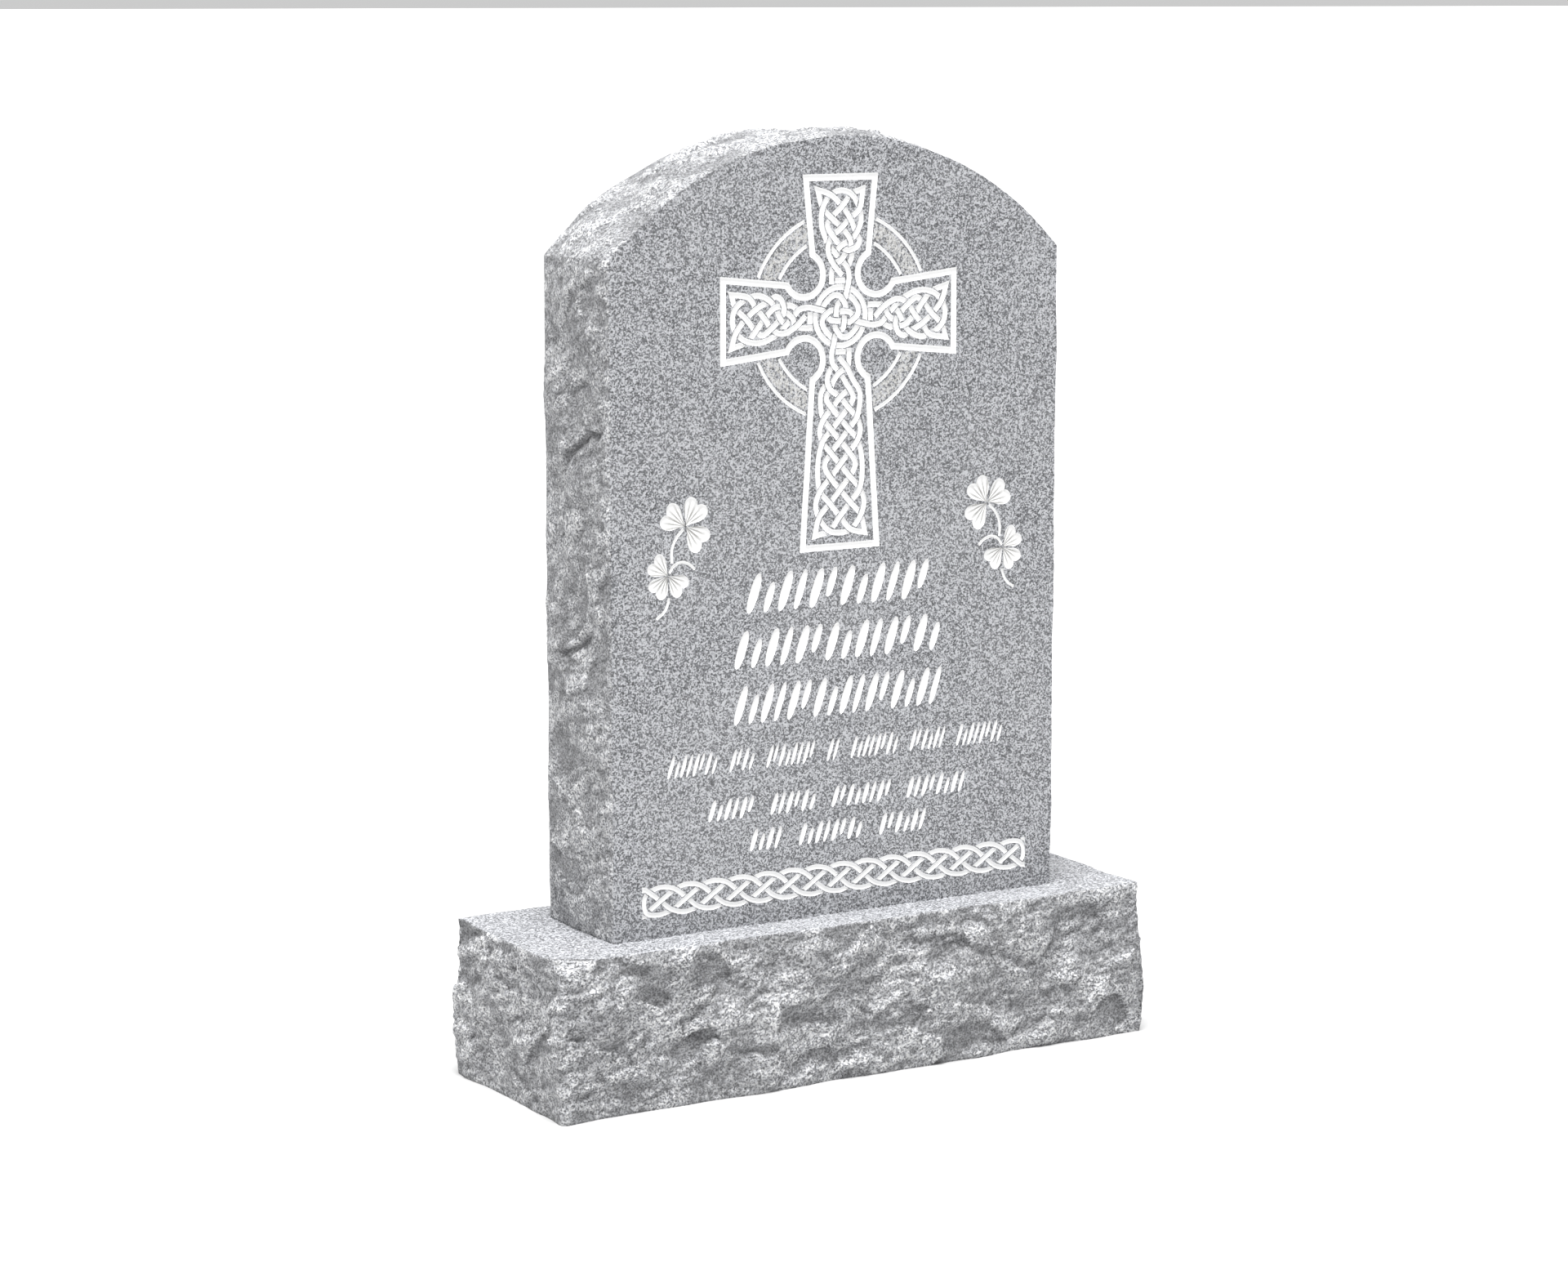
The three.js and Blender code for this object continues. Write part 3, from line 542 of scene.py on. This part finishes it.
def draw_out(bm, faces, way, rows=1):
    """Draws faces out into a closed solid, in equal rows so that its sides can take relief."""
    for row in range(rows):
        edges = dict.fromkeys(edge for face in faces for edge in face.edges)
        made = bmesh.ops.extrude_face_region(bm, geom=[*faces, *edges], use_keep_orig=row == 0)["geom"]
        moved = [v for v in made if isinstance(v, bmesh.types.BMVert)]
        bmesh.ops.translate(bm, vec=Vector(way) / rows, verts=moved)
        faces = [f for f in made if isinstance(f, bmesh.types.BMFace)]
    bmesh.ops.recalc_face_normals(bm, faces=bm.faces)


def turn_outwards(bm, front):
    """Turns the prism behind a front cap the right way out, where the recalculation guessed wrong."""
    if front.normal.y < 0:
        return
    prism, edge_of_it = {front}, [front]
    while edge_of_it:
        beside = {face for edge in edge_of_it.pop().edges for face in edge.link_faces} - prism
        prism |= beside
        edge_of_it += beside
    bmesh.ops.reverse_faces(bm, faces=list(prism))


def solid_of(outline, way, rows):
    """A closed solid drawn out of an outline."""
    bm = bmesh.new()
    face = bm.faces.new([bm.verts.new(p) for p in outline])
    draw_out(bm, [face], way, rows)
    return bm


def tablet_rim():
    """The tablet's outline: up its right side, over the arch and down its left side."""
    half = TABLET_WIDTH / 2
    rises = round(SHOULDER / RIM_CELL)
    points = [flat(half, SHOULDER * i / rises) for i in range(rises + 1)]
    turns = round(2 * ARCH_ANGLE * ARCH_RADIUS / RIM_CELL)
    for i in range(1, turns):
        angle = ARCH_ANGLE * (1 - 2 * i / turns)
        points.append(flat(ARCH_RADIUS * math.sin(angle), CROWN + ARCH_RADIUS * (math.cos(angle) - 1)))
    return points + [flat(-half, SHOULDER * i / rises) for i in range(rises, -1, -1)]


def rim_normal(x, z):
    """Which way the rim faces. Where side and arch meet it is half-way between the two."""
    side = flat(math.copysign(1, x), 0)
    arch = flat(x, z - CROWN + ARCH_RADIUS).normalized()
    if z < SHOULDER - 1:
        return side
    return arch if z > SHOULDER + 1 else (side + arch).normalized()


def make_tablet_body():
    """The tablet with its pitched rim, before it is carved."""
    elsewhere = Vector((0, 300, 0))  # so that the tablet's chips aren't the base's
    front = -TABLET_THICK / 2
    outline = [(p.x, front, p.y) for p in tablet_rim()]
    bm = solid_of(outline, (0, TABLET_THICK, 0), round(TABLET_THICK / RIM_CELL))
    relief = bm.verts.layers.float.new("relief")
    for vert in bm.verts:
        x, y, z = vert.co
        normal = rim_normal(x, z)
        across = y / TABLET_THICK + 0.5
        along = z + (3 if x > 0 else 1) * SHOULDER + x
        foot = min(1, FOOT_SHARE + z / FOOT_FADE)
        out = foot * pitched(along, across, RIM_PROUD, RIM_WANDER, RIM_ARRIS, TABLET_SEED)
        edge = min(across, 1 - across) * TABLET_THICK
        vert[relief] = chips(vert.co + elsewhere) - (below_ledges(y, z) if x < 0 else 0)
        out += foot * TABLET_CHIPS * vert[relief] * min(1, TABLET_ARRIS + edge / EDGE_FADE)
        vert.co += Vector((normal.x, 0, normal.y)) * out
        vert.co = (vert.co + Vector((0, 0, BASE_HEIGHT))) * MM
    bm.normal_update()
    split_face(bm, Vector((1, 0, 0)), -TABLET_WIDTH / 2, TABLET_WIDTH / 2)
    split_face(bm, Vector((0, 0, 1)), BASE_HEIGHT, BASE_HEIGHT + CROWN)
    return bm


def split_face(bm, way, low, high):
    """Cuts the flat front into strips, so that no face of it has to go round much carving."""
    for k in range(1, round((high - low) / FACE_CELL)):
        faces = [f for f in bm.faces
                 if abs(f.normal.y) > FLAT and f.calc_center_median().y < -NEAR_FACE * TABLET_THICK * MM]
        geom = dict.fromkeys(part for f in faces for part in (f, *f.edges, *f.verts))
        cut = way * (low + k * FACE_CELL) * MM
        bmesh.ops.bisect_plane(bm, geom=list(geom), plane_co=cut, plane_no=way)


def make_base_body():
    """The base with its pitched sides and the break at its front left top corner."""
    long_shift, end_shift = 700, 400  # so that no two sides have the same waves
    on_side = 0.5                     # a vertex this near to a side belongs to it
    bm = bmesh.new()
    corners = [(-1, -1), (1, -1), (1, 1), (-1, 1)]
    outline = []
    for i, (sx, sy) in enumerate(corners):
        tx, ty = corners[(i + 1) % 4]
        start = Vector((sx * BASE_LENGTH / 2, sy * BASE_DEPTH / 2, 0))
        end = Vector((tx * BASE_LENGTH / 2, ty * BASE_DEPTH / 2, 0))
        count = round((end - start).length / BASE_CELL)
        outline += [start.lerp(end, k / count) for k in range(count)]
    bm = solid_of(outline, (0, 0, BASE_HEIGHT), round(BASE_HEIGHT / BASE_CELL))
    relief = bm.verts.layers.float.new("relief")
    for vert in bm.verts:
        x, y, z = vert.co
        end_face = math.copysign(1, x) if abs(x) > BASE_LENGTH / 2 - on_side else 0
        long_face = math.copysign(1, y) if abs(y) > BASE_DEPTH / 2 - on_side else 0
        normal = Vector((end_face, long_face, 0)).normalized()
        along = long_face * x - end_face * y + long_shift * long_face + end_shift * end_face
        out = pitched(along, z / BASE_HEIGHT, BASE_PROUD, BASE_WANDER, BASE_ARRIS, BASE_SEED)
        edge = min(z, BASE_HEIGHT - z)
        corner = max(BASE_LENGTH / 2 - abs(x), BASE_DEPTH / 2 - abs(y))
        vert[relief] = chips(vert.co)
        out += (vert[relief] * min(1, BASE_ARRIS_CHIPS + edge / EDGE_FADE)
                * min(1, CORNER_SHARE + corner / CORNER_FADE))
        vert.co = (vert.co + normal * out) * MM
    chip = bmesh.ops.bisect_plane(
        bm, geom=bm.verts[:] + bm.edges[:] + bm.faces[:], clear_outer=True,
        plane_co=Vector((-BASE_LENGTH / 2, -BASE_DEPTH / 2, BASE_HEIGHT - CHIP_DROP)) * MM,
        plane_no=Vector(CHIP_WAY).normalized())
    edges = [e for e in chip["geom_cut"] if isinstance(e, bmesh.types.BMEdge)]
    bmesh.ops.edgeloop_fill(bm, edges=edges)
    bmesh.ops.recalc_face_normals(bm, faces=bm.faces)
    return bm


def on_face(bm, point, lift):
    """A vertex of a cutter, a little in front of the tablet's face."""
    height = point.y + lift + BASE_HEIGHT
    return bm.verts.new((point.x * MM, -(TABLET_THICK / 2 + CUT_START) * MM, height * MM))


def carving_layers():
    """Outlines and how high each is lifted, in layers in which no two meet. The first has the cross."""
    drawn = [(outline, CROSS_MIDDLE) for outline in cross_outlines()]
    band, band_tips = band_outlines()
    drawn += [(outline, BAND_MIDDLE) for outline in band]
    rows_top, rows_bottom = CROSS_MIDDLE - FOOT_REACH - ROWS_GAP, BAND_FOOT + BAND_WIDE + ROWS_GAP
    drawn += [(outline, 0) for outline in stroke_outlines(rows_top, rows_bottom)]
    sprays = [spray_outlines(side) for side in (-1, 1)]
    leaves_of = [[(outline, 0) for leaves, _ in sprays for outline in leaves[k::3]] for k in range(3)]
    rest = [(outline, 0) for _, stems in sprays for outline in stems]
    rest += [(outline, BAND_MIDDLE) for outline in band_tips]
    return [drawn, *leaves_of, rest]


def make_cutters():
    """Closed prisms that stand in front of the face and reach the carving's depth into it."""
    leaf_points = leaf_outline(flat(0, 0), 0, 1)
    cutters = []
    for number, layer in enumerate(carving_layers()):
        bm = bmesh.new()
        leaf_place = bm.loops.layers.uv.new("leaf_place")
        faces = []
        for outline, lift in layer:
            faces.append(bm.faces.new([on_face(bm, p, lift) for p in outline]))
            if len(outline) == len(leaf_points):  # no other outline has as many
                faces[-1].material_index = LEAF
                for loop, point in zip(faces[-1].loops, leaf_points):
                    loop[leaf_place].uv = point
        if number == 0:
            left, right = sides_of(frame_path(), FRAME_WIDTH, closed=True)
            outer = [on_face(bm, p, CROSS_MIDDLE) for p in left]
            inner = [on_face(bm, p, CROSS_MIDDLE) for p in right]
            faces += [bm.faces.new((outer[i - 1], outer[i], inner[i], inner[i - 1]))
                      for i in range(len(outer))]
        draw_out(bm, faces, (0, (CUT_START + CARVE_DEPTH) * MM, 0))
        for face in faces:
            turn_outwards(bm, face)
        cutters.append(bm)
    return cutters


# Materials

class Value:
    """A shader socket that takes part in ordinary sums."""

    def __init__(self, shader, socket):
        self.shader, self.socket = shader, socket

    def _sum(self, operation, *terms):
        return self.shader.node("ShaderNodeMath", {"operation": operation}, dict(enumerate(terms)))

    def angle(self, other):
        return self._sum("ARCTAN2", self, other)

    def size(self):
        return self._sum("ABSOLUTE", self)

    def wave(self):
        return self._sum("SINE", self)

    def __add__(self, other):
        return self._sum("ADD", self, other)

    def __sub__(self, other):
        return self._sum("SUBTRACT", self, other)

    def __rsub__(self, other):
        return self._sum("SUBTRACT", other, self)

    def __mul__(self, other):
        return self._sum("MULTIPLY", self, other)

    def __pow__(self, other):
        return self._sum("POWER", self, other)

    def __gt__(self, other):
        return self._sum("GREATER_THAN", self, other)

    def __lt__(self, other):
        return self._sum("LESS_THAN", self, other)

    def clamp(self, low, high, to_low=0.0, to_high=1.0):
        """Goes smoothly from one value to another as the socket goes from low to high."""
        return self.shader.node("ShaderNodeMapRange", {"interpolation_type": "SMOOTHSTEP"},
                                {0: self, 1: low, 2: high, 3: to_low, 4: to_high})

    __radd__ = __add__
    __rmul__ = __mul__


class Shader:
    """One material's nodes."""

    def __init__(self, name):
        self.material = bpy.data.materials.new(name)
        self.material.use_nodes = True
        self.tree = self.material.node_tree
        self.surface = self.tree.nodes["Principled BSDF"]

    def node(self, kind, settings=None, sockets=None, output=0):
        made = self.tree.nodes.new(kind)
        for name, setting in (settings or {}).items():
            setattr(made, name, setting)
        for name, value in (sockets or {}).items():
            self.put(made.inputs[name], value)
        return Value(self, made.outputs[output])

    def put(self, socket, value):
        if isinstance(value, Value):
            self.tree.links.new(value.socket, socket)
        else:
            socket.default_value = value

    def finish(self, **sockets):
        for name, value in sockets.items():
            self.put(self.surface.inputs[name.replace("_", " ")], value)
        return self.material

    def place(self):
        return self.node("ShaderNodeTexCoord", output="Object")

    def noise(self, place, scale, detail=2, roughness=0.5):
        sockets = {"Vector": place, "Scale": scale, "Detail": detail, "Roughness": roughness}
        return self.node("ShaderNodeTexNoise", sockets=sockets)

    def grains(self, place, scale):
        """A value for each crystal, the same all over it."""
        sockets = {"Vector": place, "Scale": scale}
        colour = self.node("ShaderNodeTexVoronoi", sockets=sockets, output="Color")
        return self.node("ShaderNodeSeparateColor", sockets={0: colour})

    def part(self, vector, index):
        return self.node("ShaderNodeSeparateXYZ", sockets={0: vector}, output=index)

    def mix(self, share, first, second):
        return self.node("ShaderNodeMix", {"data_type": "RGBA"}, {0: share, 6: first, 7: second}, output=2)

    def bump(self, height, distance, strength=1.0):
        sockets = {"Height": height, "Distance": distance, "Strength": strength}
        return self.node("ShaderNodeBump", sockets=sockets)


def grey(level, warm=0.0):
    """A grey that leans to yellow where warm is above nothing, and to blue where it is below."""
    return (level * (1 + warm), level * (1 + warm / 2), level * (1 - warm), 1)


def granite_colour(shader, place, lighter=0.0):
    """Salt-and-pepper granite: pale, grey and glassy crystals with black flecks."""
    glassy, pale, dark, black, milky = (
        grey(0.16, -0.05), grey(0.52, -0.03), grey(0.1, -0.05), grey(0.04, -0.02), grey(0.6))
    dark_share, black_share = 0.16, 0.14
    crystal = shader.grains(place, scale=560)
    fleck = shader.grains(place, scale=740)
    cloud = shader.noise(place, scale=9, detail=3)
    stone = shader.mix(crystal.clamp(0.2, 0.8), glassy, pale)
    stone = shader.mix((crystal < dark_share) * 0.7, stone, dark)
    stone = shader.mix((fleck < black_share) * 0.8, stone, black)
    return shader.mix(cloud.clamp(0.3, 0.7) * 0.06 + lighter, stone, milky)


def sawn_granite(name):
    """Fine-sawn stone. Between the ring's two lines it is frosted, which is only a change of colour."""
    shader = Shader(name)
    place = shader.place()
    pits = shader.noise(place, scale=700, detail=2)
    x, height = shader.part(place, 0), shader.part(place, 2)
    up = height - (BASE_HEIGHT + CROSS_MIDDLE) * MM
    outward = (x * x + up * up) ** 0.5
    outer, inner = (RING_RADII[0] - RING_LINE) * MM, (RING_RADII[1] + RING_LINE) * MM
    arm = (NECK_HALF + RING_GAP + 1) * MM
    between_lines = (outward < outer) * (outward > inner)
    ring = between_lines * (x.size() > arm) * (up.size() > arm) * (shader.part(place, 1) < 0)
    frost = (shader.noise(place, scale=300, detail=3, roughness=0.7) > 0.5) * ring * 0.5
    colour = shader.mix(frost, granite_colour(shader, place), grey(0.72, 0.03))
    roughness = shader.grains(place, scale=330) * 0.2 + 0.55
    normal = shader.bump(pits, distance=0.0004, strength=0.35)
    return shader.finish(Base_Color=colour, Roughness=roughness, Normal=normal)


def pitched_granite(name):
    """Split stone: bruised white on the ridges, and painted shade that darkens the hollows."""
    shader = Shader(name)
    place = shader.place()
    facet = shader.node("ShaderNodeTexVoronoi", sockets={"Vector": place, "Scale": 190})
    rough = shader.noise(place, scale=110, detail=5, roughness=0.7) + 0.6 * facet
    relief = shader.node("ShaderNodeAttribute", {"attribute_name": "relief"}, output=2)
    height = relief * 0.07 + shader.noise(place, scale=55, detail=5, roughness=0.65)
    bruised = (shader.grains(place, scale=480) > 0.66) * 0.72
    painted_hollow_shade, bruise = grey(0.11, -0.02), grey(0.85)
    stone = granite_colour(shader, place, lighter=0.09)
    # Painted shade: the hollows of the relief are darkened towards near-black, where shade would fall.
    stone = shader.mix(height.clamp(0.7, 0.2) * 0.5, stone, painted_hollow_shade)
    stone = shader.mix(height.clamp(0.3, 0.8, to_low=0.15) * bruised, stone, bruise)
    return shader.finish(Base_Color=stone, Roughness=0.85, Normal=shader.bump(rough, distance=0.004))


def carving_white(name, veins=False):
    """White paint on blasted stone. A leaf has fine grey veins that fan out from its foot, and along its
    middle a line of painted shade for a bevelled midrib.
    """
    shader = Shader(name)
    place = shader.place()
    blasted = shader.noise(place, scale=520, detail=3, roughness=0.6)
    worn = shader.noise(place, scale=160, detail=3, roughness=0.65)
    fresh, faded, vein_and_midrib_shade = grey(0.93), grey(0.75, 0.01), grey(0.3, 0.03)
    paint = shader.mix(worn.clamp(0.35, 0.7) * 0.12, fresh, faded)
    if veins:
        vein_waves, midrib_slope = 22, 22
        leaf_place = shader.node("ShaderNodeUVMap", {"uv_map": "leaf_place"})
        along, beside = shader.part(leaf_place, 0), shader.part(leaf_place, 1)
        speckle = shader.noise(place, scale=420, detail=3, roughness=0.7)
        fan = (beside.angle(along) * vein_waves).wave() * 0.5 + speckle
        grown = (along * along + beside * beside).clamp(1.0, 0.05)
        # Painted shade: a darker line along the leaf's middle stands in for the shade of its bevelled
        # midrib.
        midrib_shade = (beside.size() * midrib_slope).clamp(1, 0)
        paint = shader.mix((fan.clamp(0.5, 0.9) * 0.9 + midrib_shade * 0.6) * grown, paint, vein_and_midrib_shade)
    normal = shader.bump(blasted, distance=0.0006, strength=0.6)
    return shader.finish(Base_Color=paint, Roughness=0.9, Normal=normal)


sawn = sawn_granite("sawn_granite")
rock = pitched_granite("pitched_granite")
white = carving_white("carving_white")
leaf = carving_white("leaf_white", veins=True)


def dress(piece, flat_faces):
    """Sawn stone on the faces that the test picks out, rock-pitched stone on the others."""
    for polygon in piece.data.polygons:
        polygon.material_index = SAWN if flat_faces(polygon) else ROCK
        polygon.use_smooth = polygon.material_index == ROCK


def front_or_back(polygon):
    return abs(polygon.normal.y) > FLAT and abs(polygon.center.y) > NEAR_FACE * TABLET_THICK * MM


def top_or_underside(polygon):
    """These are the only faces of the base with many corners."""
    return abs(polygon.normal.z) > FLAT and len(polygon.vertices) > 4


tablet = new_piece("tablet_stone", make_tablet_body(), sawn, rock, white, leaf)
dress(tablet, front_or_back)
for layer in make_cutters():
    cutter = new_piece("carving_cutter", layer, sawn, rock, white, leaf)
    for polygon in cutter.data.polygons:
        polygon.material_index = max(WHITE, polygon.material_index)
    cut = tablet.modifiers.new("carving", "BOOLEAN")
    cut.operation, cut.solver, cut.object = "DIFFERENCE", "MANIFOLD", cutter
    carved = bpy.data.meshes.new_from_object(tablet.evaluated_get(bpy.context.evaluated_depsgraph_get()))
    tablet.modifiers.clear()
    tablet.data = carved
    bpy.data.objects.remove(cutter)

base = new_piece("base_stone", make_base_body(), sawn, rock)
dress(base, top_or_underside)

for piece, node, slot in ((tablet, "tablet", "tablet_granite"), (base, "base", "base_granite")):
    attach(piece, "root")
    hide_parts(node)


# Floor, light and camera

FLOOR_HALF, FLOOR_TONE = 300, 0.53
SUN_WAY, SUN_STRENGTH, SUN_BREADTH = (-0.14, -0.18, 0.96), 5.85, 30
SKY_STRENGTH = 0.6
CAMERA_PLACE, CAMERA_SENSOR, CAMERA_LENS = (-2.4127, -3.9605, 1.2714), 36, 90.14


def plain_material(name, level, roughness):
    """Almost one tone, with wide soft clouds in it."""
    shader = Shader(name)
    tone = shader.noise(shader.place(), scale=0.6, detail=1)
    return shader.finish(Base_Color=shader.mix(tone, grey(level), grey(level * 1.02)), Roughness=roughness)


floor_mesh = bmesh.new()
bmesh.ops.create_grid(floor_mesh, x_segments=1, y_segments=1, size=FLOOR_HALF)
floor = new_piece("floor", floor_mesh, plain_material("floor_pale", FLOOR_TONE, roughness=0.9))

# One broad soft light, high up and a little to the front and left of the stone
lamp = bpy.data.lights.new("high_light", "SUN")
lamp.energy, lamp.angle = SUN_STRENGTH, math.radians(SUN_BREADTH)
light = bpy.data.objects.new("high_light", lamp)
bpy.context.scene.collection.objects.link(light)
light.rotation_euler = Vector(SUN_WAY).to_track_quat("Z", "Y").to_euler()

world = bpy.data.worlds.new("studio")
world.use_nodes = True
sky = world.node_tree.nodes["Background"]
sky.inputs["Color"].default_value = grey(1)
sky.inputs["Strength"].default_value = SKY_STRENGTH
bpy.context.scene.world = world
bpy.context.scene.view_settings.view_transform = "Standard"

# The camera stands at the left, a little above, looking along its own -Z axis
camera_data = bpy.data.cameras.new("camera")
camera_data.sensor_width, camera_data.lens = CAMERA_SENSOR, CAMERA_LENS
camera = bpy.data.objects.new("camera", camera_data)
bpy.context.scene.collection.objects.link(camera)
across = Vector((0.85681, -0.51563, 0))
upward = Vector((0.08324, 0.13831, 0.98688))
backward = across.cross(upward)
facing = Matrix((across, upward, backward)).transposed()
camera.matrix_world = Matrix.Translation(CAMERA_PLACE) @ facing.to_4x4()
bpy.context.scene.camera = camera
